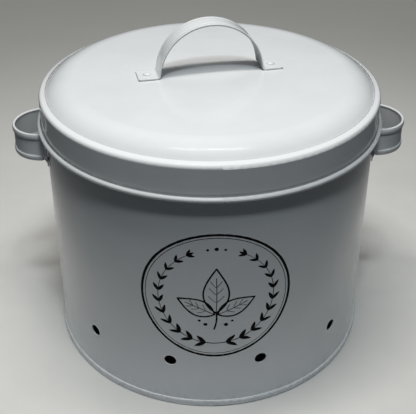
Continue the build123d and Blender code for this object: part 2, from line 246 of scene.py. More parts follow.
class Bench:
    """Short names for the nodes that the finishes are wired from."""

    def __init__(self, name: str) -> None:
        """Start a material with a Principled shader.

        Args:
            name: The new material's name.
        """
        self.material = bpy.data.materials.new(name)
        self.material.use_nodes = True
        self.tree = self.material.node_tree
        self.shader = self.tree.nodes["Principled BSDF"]
        self.place = self.add("ShaderNodeTexCoord").outputs["Object"]

    def add(self, kind: str, **settings: object) -> bpy.types.Node:
        """Add a node and set its attributes.

        Args:
            kind: The node's type.
            **settings: Its attributes.

        Returns:
            The node.
        """
        node = self.tree.nodes.new(kind)
        for key, value in settings.items():
            setattr(node, key, value)
        return node

    def put(self, target: Socket, value: object) -> None:
        """Wire a socket to another, or set a number or colour on it.

        Args:
            target: The socket that takes the value.
            value: A socket, a number, or a colour as an RGB triple.
        """
        if isinstance(value, Socket):
            self.tree.links.new(value, target)
        elif isinstance(value, tuple):
            target.default_value = (*value, 1.0)
        else:
            target.default_value = value

    def fill(self, node: bpy.types.Node, values: dict[str, object]) -> None:
        """Put sockets, numbers or colours on a node's inputs, by the inputs' names."""
        for key, value in values.items():
            self.put(node.inputs[key], value)

    def finish(self, values: dict[str, object]) -> bpy.types.Material:
        """Put values on the shader's inputs and give the finished material."""
        self.fill(self.shader, values)
        return self.material

    def noise(self, size: float, detail: float = 2.0, rough: float = 0.5) -> Socket:
        """Soft noise on the object's own coordinates.

        Args:
            size: Size of a feature in metres.
            detail: Octaves of finer noise.
            rough: Weight of the finer noise.

        Returns:
            The noise value, about 0 to 1 with a middle of 0.5.
        """
        node = self.add("ShaderNodeTexNoise")
        self.fill(node, {"Scale": 1.0 / size, "Detail": detail, "Roughness": rough,
                         "Vector": self.place})
        return node.outputs["Fac"]

    def patches(self, mottle: Mottle) -> Socket:
        """Noise stepped into patches."""
        noise = self.noise(mottle.size, mottle.detail, mottle.rough)
        return self.fade(noise, mottle.low, mottle.high, mottle.start, mottle.end)

    def sums(self, kind: str, a: object, b: object = 0.0) -> Socket:
        """One step of arithmetic.

        Args:
            kind: The Math node's operation.
            a: First socket or number.
            b: Second socket or number, where the operation has two.

        Returns:
            The result.
        """
        node = self.add("ShaderNodeMath", operation=kind)
        self.put(node.inputs[0], a)
        self.put(node.inputs[1], b)
        return node.outputs[0]

    def plus(self, a: object, b: object) -> Socket:
        """Sum a + b."""
        return self.sums("ADD", a, b)

    def less(self, a: object, b: object) -> Socket:
        """Difference a - b."""
        return self.sums("SUBTRACT", a, b)

    def times(self, a: object, b: object) -> Socket:
        """Product a b."""
        return self.sums("MULTIPLY", a, b)

    def most(self, a: object, *others: object) -> Socket:
        """Greatest of several values.

        Args:
            a: The first value.
            *others: The other values.

        Returns:
            The greatest.
        """
        for other in others:
            a = self.sums("MAXIMUM", a, other)
        return a

    def size(self, a: object) -> Socket:
        """The value without its sign, |a|."""
        return self.sums("ABSOLUTE", a)

    def length(self, a: Socket, b: Socket) -> Socket:
        """Length (a^2 + b^2)^0.5."""
        return self.sums("POWER", self.plus(self.times(a, a), self.times(b, b)), 0.5)

    def fade(self, value: Socket, low: float, high: float,
             start: float = 0.0, end: float = 1.0) -> Socket:
        """Smooth step from start to end as the value goes from low to high.

        Args:
            value: The value to read.
            low: Value at which the result is start.
            high: Value at which the result is end.
            start: Result at low.
            end: Result at high.

        Returns:
            The stepped value.
        """
        node = self.add("ShaderNodeMapRange", interpolation_type="SMOOTHSTEP")
        self.fill(node, {"Value": value, "From Min": low, "From Max": high,
                         "To Min": start, "To Max": end})
        return node.outputs["Result"]

    def near(self, value: Socket, level: float, reach: float, share: float = 1.0) -> Socket:
        """The share where the value is at the level, fading to 0 at this reach from it."""
        return self.fade(self.size(self.less(value, level)), 0.0, reach, share, 0.0)

    def mix(self, share: object, a: object, b: object) -> Socket:
        """Mix two colours.

        Args:
            share: Share of the second colour.
            a: The first colour, a socket or an RGB triple.
            b: The second colour, likewise.

        Returns:
            The mixed colour.
        """
        node = self.add("ShaderNodeMix", data_type="RGBA")
        self.put(node.inputs["Factor"], share)
        self.put(node.inputs[MIX_A], a)
        self.put(node.inputs[MIX_B], b)
        return node.outputs[MIXED]

    def bump(self, height: Socket, depth: float, under: Optional[Socket] = None) -> Socket:
        """Bump the surface.

        Args:
            height: Height from 0 to 1.
            depth: What a height of 1 stands for, in metres.
            under: A normal to add to, or None.

        Returns:
            The bent normal.
        """
        node = self.add("ShaderNodeBump")
        self.fill(node, {"Strength": 1.0, "Distance": depth, "Height": height})
        if under is not None:
            self.put(node.inputs["Normal"], under)
        return node.outputs["Normal"]

    def axes(self, place: Optional[Socket] = None) -> Sequence[Socket]:
        """Coordinates x, y and z of a place.

        Args:
            place: The place, or None for the object's own.

        Returns:
            The three coordinates.
        """
        node = self.add("ShaderNodeSeparateXYZ")
        self.put(node.inputs[0], place or self.place)
        return node.outputs

    def across(self) -> Socket:
        """Radius from the bin's axis."""
        x, y, _ = self.axes()
        return self.length(x, y)

    def turned(self, turn: float) -> Sequence[Socket]:
        """Coordinates on axes that are turned about the bin's axis.

        Args:
            turn: The axes' turn in degrees.

        Returns:
            The three coordinates.
        """
        spin = self.add("ShaderNodeVectorRotate", rotation_type="Z_AXIS")
        self.fill(spin, {"Angle": -math.radians(turn), "Vector": self.place})
        return self.axes(spin.outputs[0])


class WearAndShadeZone(Enum):
    """Where a painted piece sits, which decides the kinds of wear, grime, painted shade and
    painted light that it gets.
    """

    WALL = "wall"
    BASE = "base"
    SKIRT = "skirt"
    DOME = "dome"
    GRIP = "grip"
    HANDLE = "handle"
    RIVET = "rivet"
    LIP = "lip"


@dataclass(frozen=True)
class LidFeet:
    """Where the lid handle's two feet stand on the dome, with the grime and painted shade round
    them, and where its grooves run.
    """

    turn: float = 10.7
    middle: float = 49.8 * MM
    half_length: float = 6.2 * MM
    half_width: float = 9.0 * MM
    # share and reach of the grime and painted shade round the feet, where they meet the dome
    grime_and_shade: float = 0.7
    grime_and_shade_reach: float = 0.7 * MM
    groove: float = 6.1 * MM
    groove_half: float = 0.9 * MM
    groove_depth: float = 0.30 * MM
    groove_low: float = 3.0 * MM
    groove_foot: float = 5.0 * MM


@dataclass(frozen=True)
class InnerShade:
    """The inner face of a bent strip, darkened with painted shade.

    Past the start the strip bends round an axis at this radius, to the middle of its
    sheet; before the start it runs straight. There a share of the dark primer colour is
    mixed in as painted shade, and the coat is duller.
    """

    on_lid: bool
    start: float
    radius: float
    middle: float = 0.0
    half_height: float = 1.0
    ease: float = 1.0 * MM
    blur: float = 0.1 * MM
    # share of the dark primer colour mixed in as painted shade
    thin: float = 0.45
    dull: float = 0.35


@dataclass(frozen=True)
class WearAndShade:
    """Where one painted piece is worn or dirty, and where it gets painted shade and painted light.

    Edges are worn at (height, reach). Creases hold grime and painted shade at (height,
    reach, share). The rim is the radius and the height of the line between the lid's ring
    and its dome: grime and painted shade lie along it, and the ring is painted lighter near
    this height, as painted light. The face is a strip's inner face, darkened with painted
    shade. Grooves start at a height and are darkened with painted shade.
    """

    zone: WearAndShadeZone
    edges: Sequence[Pair] = ()
    creases: Sequence[tuple[float, float, float]] = ()
    rim: Optional[Pair] = None
    face: Optional[InnerShade] = None
    groove_from: float = 0.0


@dataclass(frozen=True)
class GlossPaint:
    """White gloss powder coat on steel, with orange peel, smudges, dirt, worn edges, painted shade
    and painted light.

    The grain, the orange peel and the sheet's waves are noises, given by their feature
    size, their octaves of detail and, for the grain, the weight of the detail.
    """

    base: Colour = (0.80, 0.82, 0.83)
    shade: Colour = (0.74, 0.76, 0.775)
    cloud: Mottle = Mottle(38 * MM, 3.0, 0.5, 0.35, 0.70)
    cloud_share: float = 0.5

    roughness: float = 0.20
    smear: Mottle = Mottle(24 * MM, 3.0, 0.55, 0.40, 0.80)
    smear_rough: float = 0.07
    grain: tuple[float, float, float] = (1.1 * MM, 3.0, 0.6)
    grain_rough: float = 0.06
    peel: Pair = (2.6 * MM, 1.5)
    peel_depth: float = 0.012 * MM
    wave: Pair = (55 * MM, 1.0)
    wave_depth: float = 0.16 * MM
    ior: float = 1.5
    coat: float = 0.6
    coat_roughness: float = 0.055

    # the primer shows in chips; the same dark colour is also mixed in as painted shade on the
    # inner faces of bent strips
    primer_and_inner_shade: Colour = (0.20, 0.20, 0.205)
    chips: Mottle = Mottle(3.2 * MM, 6.0, 0.7, 0.60, 0.66)
    chip_share: float = 0.8
    chip_rough: float = 0.25

    # painted light: the lid's ring painted lighter near its top
    ring_light: Colour = (0.88, 0.895, 0.905)
    ring_light_drop: Pair = (4.6 * MM, 2.6 * MM)

    # grime mixed with painted shade, in creases, along the dome's rim, round the handle's feet and
    # in its grooves
    grime_and_shade: Colour = (0.10, 0.105, 0.11)
    grime_and_shade_patches: Mottle = Mottle(5 * MM, 3.0, 0.5, 0.25, 0.60, 0.7, 1.0)
    rim_grime_and_shade: float = 0.5
    rim_reach: float = 0.8 * MM
    groove_shade: float = 0.35
    feet: LidFeet = LidFeet()

    dirt: Colour = (0.42, 0.40, 0.36)
    splashes: Mottle = Mottle(6 * MM, 6.0, 0.65, 0.42, 0.72)
    splash_reach: Pair = (4 * MM, 16 * MM)
    splash_share: float = 0.35

    def material(self, name: str, wear_and_shade: WearAndShade) -> bpy.types.Material:
        """Wire the paint for one piece, in layers from the plain coat up.

        Args:
            name: The material's name.
            wear_and_shade: Where the piece gets its wear, grime, painted shade and painted light.

        Returns:
            The material.
        """
        job = PaintJob(name, self, wear_and_shade)
        if wear_and_shade.edges:
            job.add_chips()
        if wear_and_shade.zone is WearAndShadeZone.SKIRT:
            job.add_ring_light()
        if wear_and_shade.face is not None:
            job.add_inner_shade(wear_and_shade.face)
        if wear_and_shade.zone is WearAndShadeZone.GRIP:
            job.add_groove_shade()
        job.add_grime_and_shade()
        if wear_and_shade.zone in (WearAndShadeZone.WALL, WearAndShadeZone.BASE):
            job.add_splashes()
        return job.finish()


class PaintJob:
    """The paint of one piece while its layers are wired."""

    def __init__(self, name: str, paint: GlossPaint, wear_and_shade: WearAndShade) -> None:
        """Start with the plain coat: a cloudy colour and a smudged, grainy gloss.

        Args:
            name: The material's name.
            paint: The paint.
            wear_and_shade: Where the piece gets its wear, grime, painted shade and painted light.
        """
        self.bench = Bench(name)
        self.paint = paint
        self.wear_and_shade = wear_and_shade
        self.height = self.bench.axes()[2]
        self.inner_shade: Optional[Socket] = None
        self.colour: object = paint.base
        self.rough: object = paint.roughness
        self.tint(self.bench.patches(paint.cloud), paint.cloud_share, paint.shade)
        self.roughen(self.bench.patches(paint.smear), paint.smear_rough)
        grain = self.bench.less(self.bench.noise(*paint.grain), NOISE_MIDDLE)
        self.roughen(grain, paint.grain_rough)

    def tint(self, share: Socket, amount: float, colour: Colour) -> None:
        """Mix this amount of a colour in where the share is."""
        self.colour = self.bench.mix(self.bench.times(share, amount), self.colour, colour)

    def roughen(self, share: Socket, amount: float) -> None:
        """Add this amount of roughness where the share is."""
        self.rough = self.bench.plus(self.rough, self.bench.times(share, amount))

    def outside(self, value: object) -> object:
        """The value, falling to 0 on the inner face with painted shade, where the piece has one.
        """
        inner_shade, bench = self.inner_shade, self.bench
        return value if inner_shade is None else bench.times(value, bench.less(1.0, inner_shade))

    def add_chips(self) -> None:
        """Chip the paint down to the primer, in patches along the worn edges."""
        bench, paint = self.bench, self.paint
        worn = bench.most(*(bench.near(self.height, *edge) for edge in self.wear_and_shade.edges))
        chip = bench.times(bench.patches(paint.chips), worn)
        self.tint(chip, paint.chip_share, paint.primer_and_inner_shade)
        self.roughen(chip, paint.chip_rough)

    def add_ring_light(self) -> None:
        """Paint the lid's ring lighter, full near its top: painted light."""
        low, high = (self.wear_and_shade.rim[1] - drop for drop in self.paint.ring_light_drop)
        lit_share = self.bench.fade(self.height, low, high)
        # painted light: the ring's lighter colour
        self.colour = self.bench.mix(lit_share, self.colour, self.paint.ring_light)

    def add_inner_shade(self, face: InnerShade) -> None:
        """Paint shade on the inner face of a bent strip, in the dark primer colour, and make it
        dull.

        With p the run past the start, or 0 before it, and q the place across the bend,
        the face is inside where (p^2 + q^2)^0.5 is less than the strip's radius, and
        between the strip's folded edges.

        Args:
            face: Where the strip is.
        """
        bench = self.bench
        x, y, z = bench.axes()
        if face.on_lid:
            run, cross = z, bench.turned(self.paint.feet.turn)[0]
        else:
            run, cross = bench.size(x), y
        past = bench.most(bench.less(run, face.start), 0.0)
        reach = bench.length(past, cross)
        inner = bench.fade(reach, face.radius - face.blur, face.radius + face.blur, 1.0, 0.0)
        off = bench.size(bench.less(z, face.middle))
        between = bench.fade(off, face.half_height - face.ease, face.half_height, 1.0, 0.0)
        self.inner_shade = bench.times(inner, between)
        # painted shade: a share of the dark primer colour on the inner face
        self.tint(self.inner_shade, face.thin, self.paint.primer_and_inner_shade)
        self.roughen(self.inner_shade, face.dull)

    def add_groove_shade(self) -> None:
        """Darken the grooves along both edges of the lid handle, on its outer face, with painted
        shade.
        """
        bench, feet, start = self.bench, self.paint.feet, self.wear_and_shade.groove_from
        _, v, _ = bench.turned(feet.turn)
        line = bench.near(bench.size(v), feet.groove, feet.groove_half)
        shade = bench.times(line, bench.fade(self.height, start, start + feet.groove_foot))
        # painted shade in the grooves
        self.tint(self.outside(shade), self.paint.groove_shade, self.paint.grime_and_shade)

    def foot_line(self) -> Socket:
        """Grime and painted shade round the handle's feet, on the dome.

        With u along the handle and v across it, the distance from a foot's outline is
        max(|v| - w, ||u| - m| - l): w is half the strip's width, m the middle of a foot
        and l half its length.

        Returns:
            The share of grime and painted shade.
        """
        bench, feet = self.bench, self.paint.feet
        u, v, _ = bench.turned(feet.turn)
        across = bench.less(bench.size(v), feet.half_width)
        along = bench.size(bench.less(bench.size(u), feet.middle))
        gap = bench.most(across, bench.less(along, feet.half_length))
        return bench.fade(gap, 0.0, feet.grime_and_shade_reach, feet.grime_and_shade, 0.0)

    def add_grime_and_shade(self) -> None:
        """Put patchy grime and painted shade in the creases, along the rim of the dome and round
        the feet.
        """
        bench, paint, wear_and_shade = self.bench, self.paint, self.wear_and_shade
        lines = [bench.near(self.height, *crease) for crease in wear_and_shade.creases]
        if wear_and_shade.rim is not None:
            lines.append(bench.near(bench.across(), wear_and_shade.rim[0], paint.rim_reach, paint.rim_grime_and_shade))
        if wear_and_shade.zone is WearAndShadeZone.DOME:
            lines.append(self.foot_line())
        if lines:
            grime_and_shade = bench.times(bench.most(*lines), bench.patches(paint.grime_and_shade_patches))
            # grime and painted shade mixed into the colour
            self.colour = bench.mix(grime_and_shade, self.colour, paint.grime_and_shade)

    def add_splashes(self) -> None:
        """Put patchy dirt low down, next to the floor."""
        bench, paint = self.bench, self.paint
        low = bench.fade(self.height, *paint.splash_reach, 1.0, 0.0)
        dirt = bench.times(low, bench.patches(paint.splashes))
        self.tint(dirt, paint.splash_share, paint.dirt)

    def finish(self) -> bpy.types.Material:
        """Wire the layers to the shader, with the orange peel and the sheet's waves.

        Returns:
            The finished material.
        """
        bench, paint = self.bench, self.paint
        normal = bench.bump(bench.noise(*paint.wave), paint.wave_depth)
        normal = bench.bump(bench.noise(*paint.peel), paint.peel_depth, normal)
        return bench.finish({
            "Base Color": self.colour, "Roughness": self.rough, "Normal": normal,
            "IOR": paint.ior, "Coat Weight": self.outside(paint.coat),
            "Coat Roughness": paint.coat_roughness})


@dataclass(frozen=True)
class PrintInk:
    """Satin black screen-print ink, a little thin in places."""

    base: Colour = (0.001, 0.001, 0.0013)
    thin: Colour = (0.010, 0.010, 0.012)
    worn: Mottle = Mottle(0.5 * MM, 3.0, 0.6, 0.60, 0.80)
    worn_share: float = 0.4
    roughness: float = 0.50
    mottle_size: float = 2 * MM
    mottle_rough: float = 0.16
    grain_size: float = 0.35 * MM
    grain_depth: float = 0.006 * MM
    specular: float = 0.06

    def material(self, name: str) -> bpy.types.Material:
        """Wire the ink.

        Args:
            name: The material's name.

        Returns:
            The material.
        """
        bench = Bench(name)
        worn = bench.times(bench.patches(self.worn), self.worn_share)
        mottle = bench.times(bench.noise(self.mottle_size), self.mottle_rough)
        return bench.finish({
            "Base Color": bench.mix(worn, self.base, self.thin),
            "Roughness": bench.plus(self.roughness, mottle),
            "Normal": bench.bump(bench.noise(self.grain_size), self.grain_depth),
            "Specular IOR Level": self.specular})


# ----- Camera and studio -----

@dataclass(frozen=True)
class Viewpoint:
    """A camera in front of the bin, a little to one side of its printed face.

    Its focal length and the shift of its axis are given in pixels of a picture that is
    frame_px wide.
    """

    frame_px: float = 416.0
    focal_px: float = 757.5
    sensor_mm: float = 36.0
    distance: float = 535.03 * MM
    height: float = 449.27 * MM
    pitch: float = 27.697
    yaw: float = -0.135
    roll: float = 0.111
    azimuth: float = -2.232
    axis_px: float = -79.0
    clip_start: float = 10 * MM

    def build(self) -> Thing:
        """Make the camera and set it as the scene's.

        Returns:
            The camera object.
        """
        data = bpy.data.cameras.new("front_camera")
        data.sensor_width = self.sensor_mm
        data.lens = self.focal_px * self.sensor_mm / self.frame_px
        data.shift_y = self.axis_px / self.frame_px
        data.clip_start = self.clip_start
        yaw, pitch = math.radians(self.yaw), math.radians(self.pitch)
        level = math.cos(pitch)
        ahead = Vector((math.sin(yaw) * level, math.cos(yaw) * level, -math.sin(pitch)))
        right = ahead.cross(Vector(UP)).normalized()
        basis = Matrix((right, right.cross(ahead), -ahead)).transposed().to_4x4()
        turn, roll = (Matrix.Rotation(math.radians(a), 4, "Z") for a in (self.azimuth, self.roll))
        stand = Matrix.Translation((0, -self.distance, self.height))
        camera = bpy.data.objects.new("front_camera", data)
        camera.matrix_world = turn @ stand @ basis @ roll
        bpy.context.scene.collection.objects.link(camera)
        bpy.context.scene.camera = camera
        return camera


@dataclass(frozen=True)
class SoftLamp:
    """One rectangular studio light that looks at a point; sizes in metres, power in watts."""

    name: str
    place: tuple[float, float, float]
    aim: tuple[float, float, float]
    size: Pair
    power: float
    colour: Colour
    mirrored: bool = False

    def build(self) -> Thing:
        """Make the light and turn it to its aim; only a mirrored one shows in gloss.

        Returns:
            The light object.
        """
        data = bpy.data.lights.new(self.name, "AREA")
        data.shape = "RECTANGLE"
        data.size, data.size_y = self.size
        data.energy = self.power
        data.color = self.colour
        lamp = bpy.data.objects.new(self.name, data)
        lamp.location = self.place
        way = Vector(self.aim) - Vector(self.place)
        lamp.rotation_euler = way.to_track_quat("-Z", "Y").to_euler()
        lamp.visible_glossy = self.mirrored
        bpy.context.scene.collection.objects.link(lamp)
        return lamp


@dataclass(frozen=True)
class Studio:
    """Pale floor, dim surround and soft lights.

    Each reach is the pair of radii between which the floor goes from its near tone to
    its far one: seen, thrown back dull, mirrored, and melted into the backdrop.
    """

    floor_radius: float = 2.4
    floor_rings: int = 24
    floor_spokes: int = 96
    floor_ease: float = 1.5
    pale: Colour = (0.86, 0.85, 0.815)
    veil: Colour = (0.79, 0.78, 0.75)
    veils: Mottle = Mottle(120 * MM, 4.0, 0.6, 0.35, 0.75)
    rough: float = 0.45
    veil_rough: float = 0.12
    far: Colour = (0.68, 0.675, 0.64)
    far_reach: Pair = (0.26, 0.70)
    bounce_near: Colour = (0.66, 0.685, 0.71)
    bounce_far: Colour = (0.045, 0.047, 0.05)
    bounce_reach: Pair = (0.14, 0.27)
    mirrored_far: Colour = (0.16, 0.165, 0.17)
    mirrored_reach: Pair = (0.18, 0.42)
    melt_reach: Pair = (0.55, 1.25)
    backdrop: Colour = (0.25, 0.245, 0.22)
    surround: Colour = (0.020, 0.024, 0.028)
    lamps: Sequence[SoftLamp] = (
        SoftLamp("top", (-0.10, -0.24, 1.25), (-0.08, -0.20, 0.0),
                 (0.70, 0.12), 4.5, (1.0, 0.975, 0.94)),
        SoftLamp("key", (0.03, -0.58, 1.45), (0.0, 0.0, 0.15),
                 (0.20, 0.13), 5.3, (0.85, 0.945, 1.0)),
        SoftLamp("strip", (0.0, -0.085, 0.80), (0.0, -0.05, 0.2),
                 (0.26, 0.030), 1.40, (1.0, 0.965, 0.92)),
        SoftLamp("glint", (0.0, -0.07, 0.755), (0.0, -0.04, 0.2),
                 (0.30, 0.014), 0.18, (1.0, 1.0, 1.0), mirrored=True),
        SoftLamp("back", (-0.10, 0.95, 1.35), (0.0, 0.1, 0.1),
                 (1.30, 0.80), 3.2, (1.0, 0.98, 0.95)),
    )

    def floor_paint(self) -> bpy.types.Material:
        """Wire the floor's paint.

        It is palest round the bin and greyer far off, and at last it melts into the
        backdrop's tone, so that no edge shows. Light that it throws back onto the bin,
        dull or mirrored, fades with distance sooner than its paint does, as from a table
        top that ends near the bin.

        Returns:
            The material.
        """
        bench = Bench("pale_floor")
        veil = bench.patches(self.veils)
        across = bench.across()
        near = bench.mix(veil, self.pale, self.veil)
        seen = bench.mix(bench.fade(across, *self.far_reach), near, self.far)
        bounce = bench.fade(across, *self.bounce_reach)
        dull = bench.mix(bounce, self.bounce_near, self.bounce_far)
        gloss = bench.mix(bench.fade(across, *self.mirrored_reach), seen, self.mirrored_far)
        melted = bench.fade(across, *self.melt_reach)
        ray = bench.add("ShaderNodeLightPath").outputs
        shown = bench.mix(ray["Is Glossy Ray"], bench.mix(melted, seen, BLACK), gloss)
        return bench.finish({
            "Base Color": bench.mix(ray["Is Diffuse Ray"], shown, dull),
            "Roughness": bench.plus(self.rough, bench.times(veil, self.veil_rough)),
            "Emission Color": self.backdrop,
            "Emission Strength": bench.times(melted, ray["Is Camera Ray"])})

    def floor(self) -> Thing:
        """Make the flat floor disc: radius r and angle a give (r cos a, r sin a, 0).

        The rings' radii grow as the share of the way out to the power of the ease.

        Returns:
            The floor.
        """
        share = np.linspace(0.0, 1.0, self.floor_rings)
        radius = share**self.floor_ease * self.floor_radius
        flat = radius[:, None, None] * circle(full_turn(self.floor_spokes))
        grid = np.concatenate([flat, np.zeros_like(flat[..., :1])], axis=-1)
        floor = Shell.of_grid(grid, False, True).to_object("floor", weld=True)
        set_material(floor, self.floor_paint())
        return floor

    def surround_light(self) -> None:
        """Grey backdrop for the eye, and a dim even light for everything else."""
        world = bpy.data.worlds.new("surround")
        world.use_nodes = True
        tree = world.node_tree
        dim = tree.nodes["Background"]
        seen = tree.nodes.new("ShaderNodeBackground")
        for node, colour in ((dim, self.surround), (seen, self.backdrop)):
            node.inputs["Color"].default_value = (*colour, 1.0)
        ray = tree.nodes.new("ShaderNodeLightPath")
        pick = tree.nodes.new("ShaderNodeMixShader")
        surface = tree.nodes["World Output"].inputs["Surface"]
        for source, target in ((ray.outputs["Is Camera Ray"], pick.inputs[0]),
                               (dim.outputs[0], pick.inputs[1]),
                               (seen.outputs[0], pick.inputs[2]), (pick.outputs[0], surface)):
            tree.links.new(source, target)
        bpy.context.scene.world = world

    def build(self) -> None:
        """Make the floor, the surround and the lights."""
        self.surround_light()
        self.floor()
        for lamp in self.lamps:
            lamp.build()
            LOG.info("light %s", lamp.name)


# ----- Help for the bin's pieces -----

@dataclass(frozen=True)
class BinSizes:
    """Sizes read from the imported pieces, from which the dressing is placed."""

    wall_r: float
    dome_top: float
    ring_top: float
    skirt_foot: float

    @staticmethod
    def read() -> "BinSizes":
        """Read the sizes from the boxes of the wall, the dome and the skirt.

        Returns:
            The sizes.
        """
        wall_low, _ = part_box("body_wall")
        _, dome_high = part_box("lid_dome")
        skirt_low, skirt_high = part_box("lid_skirt")
        return BinSizes(-wall_low[0], dome_high[2], skirt_high[2], skirt_low[2])


def finish_piece(piece: Thing, material: bpy.types.Material, body: str) -> Thing:
    """Paint a new piece and let it ride on its body.

    Args:
        piece: The piece.
        material: Its finish.
        body: The body that carries it.

    Returns:
        The piece.
    """
    set_material(piece, material)
    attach(piece, body)
    return piece


def lathe(profile: Points, count: int = 360) -> Shell:
    """Turn a closed profile round the bin's axis.

    A profile point (r, z) at azimuth a goes to (r cos a, r sin a, z).

    Args:
        profile: Points of the closed profile, shape (n, 2).
        count: Steps round the axis.

    Returns:
        The turned shell.
    """
    flat = profile[None, :, :1] * circle(full_turn(count))[:, None, :]
    height = np.broadcast_to(profile[None, :, 1:], (*flat.shape[:2], 1))
    return Shell.of_grid(np.concatenate([flat, height], axis=-1), True, True)


@dataclass(frozen=True)
class RivetFillets:
    """Hollow fillets of paint round the heads of rivets.

    A fillet starts tucked under the head's edge and has its root inside the sheet.
    """

    reach: float
    head_r: float = 2.8 * MM
    tuck: float = 0.1 * MM
    root: float = 0.3 * MM
    sunk: float = 0.15 * MM
    hollow_steps: int = 8
    round_steps: int = 40

    def shell(self, foot: Points, out: Points) -> Shell:
        """Make the fillet round one head.

        The section runs from height c on the head's edge to reach c out on the sheet
        along a quarter of a hollow circle, and back under the sheet; it is turned round
        the rivet's axis.

        Args:
            foot: Middle of the head on the sheet.
            out: Unit vector out of the sheet.

        Returns:
            The fillet as a closed shell.
        """
        hollow = 1 - circle(np.linspace(0.0, np.pi / 2, self.hollow_steps))
        sheet = [[self.head_r + self.reach, -self.sunk], [self.head_r - self.root, -self.sunk]]
        section = np.concatenate([hollow * self.reach + [self.head_r - self.tuck, 0.0], sheet])
        first = np.cross(out, UP) if out[:2].any() else np.array([1.0, 0.0, 0.0])
        first = first / np.linalg.norm(first)
        axes = np.stack([first, np.cross(out, first)])
        round_head = circle(full_turn(self.round_steps)) @ axes
        flat = section[None, :, :1] * round_head[:, None, :]
        return Shell.of_grid(foot + flat + section[None, :, 1:] * out, True, True)

    def piece(self, name: str, heads: Sequence[tuple[Points, Points]],
              paint: bpy.types.Material, body: str) -> Thing:
        """Make the fillets round several heads as one piece.

        Args:
            name: The piece's name.
            heads: Each head's foot and way out, as for one fillet.
            paint: The fillets' finish.
            body: The body that carries them.

        Returns:
            The piece.
        """
        shells = [self.shell(foot, out) for foot, out in heads]
        piece = Shell.joined(shells).to_object(name)
        return finish_piece(piece, paint, body)


def middle_of(node: str) -> Points:
    """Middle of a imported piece's box."""
    low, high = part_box(node)
    return (np.array(low) + np.array(high)) / 2


# ----- The front print -----

@dataclass(frozen=True)
class Stroke:
    """One stroke of ink on the flat print: its middle line and half its width."""

    line: Points
    half: Points
    closed: bool = False

    def moved(self, turn: float = 0.0, shift: Pair | Points = (0.0, 0.0),
              mirror: bool = False) -> "Stroke":
        """Turn, shift and perhaps mirror the stroke.

        A point (s, h) is first mirrored to (-s, h) if asked, then turned about the
        origin by the angle, then shifted.

        Args:
            turn: Turn in degrees, anticlockwise.
            shift: Shift after the turn.
            mirror: Whether to mirror it left to right first.

        Returns:
            The moved stroke.
        """
        x, y = spun(self.line[:, 0] * (-1.0 if mirror else 1.0), self.line[:, 1], turn)
        return Stroke(np.stack([x, y], axis=1) + shift, self.half, self.closed)


def circle_stroke(radius: float, ink: float, count: int = 240) -> Stroke:
    """Ring of ink: angle a gives (R cos a, R sin a)."""
    return Stroke(radius * circle(full_turn(count)), np.full(count, ink / 2), True)


def dot_stroke(radius: float, count: int = 15) -> Stroke:
    """Round dot: a short stroke whose half width follows a half circle."""
    across, up = (radius * circle(np.linspace(np.pi, 0.0, count))).T
    return Stroke(np.stack([across, np.zeros_like(across)], axis=1), up + POINT)


def leaf_stroke(leaf: Pair, bend: float = 0.12, count: int = 15) -> Stroke:
    """Solid leaf that starts at the origin and points up.

    At share t of its length the middle is at (bend L t (1 - t), L t), and half the
    width is (W / 2) sin(pi t^0.85)^0.8, so it is fullest before the middle and pointed.

    Args:
        leaf: Length L and greatest width W.
        bend: How far the middle line bows aside, as a share of the length.
        count: Steps along the leaf.

    Returns:
        The leaf as one wide stroke.
    """
    length, width = leaf
    t = np.linspace(0.0, 1.0, count)
    line = np.stack([bend * length * t * (1 - t), length * t], axis=1)
    half = width / 2 * np.clip(np.sin(np.pi * t**0.85), 0.0, 1.0) ** 0.8
    return Stroke(line, half + LEAF_POINT)


def leaf_outline(leaf: Pair, ink: float, count: int = 96) -> Stroke:
    """Outline of a leaf that starts at the origin and points up.

    Angle t gives height share h = (1 - cos t) / 2 and the point
    (+-W / 2 sin(pi h^0.8), L h): pointed at both ends and fullest below the middle.

    Args:
        leaf: Length L and greatest width W.
        ink: Width of the drawn line.
        count: Steps round the outline.

    Returns:
        The outline as a closed stroke.
    """
    length, width = leaf
    t = np.linspace(-np.pi, np.pi, count, endpoint=False)
    share = (1 - np.cos(t)) / 2
    side = np.sign(t) * width / 2 * np.sin(np.pi * share**0.8)
    return Stroke(np.stack([side, length * share], axis=1), np.full(count, ink / 2), True)


def curve_stroke(points: Sequence[Pair] | Points, ink: float, count: int = 24) -> Stroke:
    """Line of ink with round ends along a quadratic curve.

    Share t gives (1 - t)^2 A + 2 t (1 - t) B + t^2 C, and near each end the half
    width follows a quarter circle.

    Args:
        points: The curve's start A, pull B and end C.
        ink: Width of the line.
        count: Steps along the curve.

    Returns:
        The stroke.
    """
    start, pull, end = np.array(points)
    t = (1 - np.cos(np.linspace(0.0, np.pi, count)))[:, None] / 2
    line = (1 - t) ** 2 * start + 2 * t * (1 - t) * pull + t**2 * end
    way = np.concatenate([[0.0], np.cumsum(np.linalg.norm(np.diff(line, axis=0), axis=1))])
    left = np.clip(1 - np.minimum(way, way[-1] - way) / (ink / 2), 0.0, 1.0)
    return Stroke(line, ink / 2 * np.sqrt(1 - left**2) + POINT)


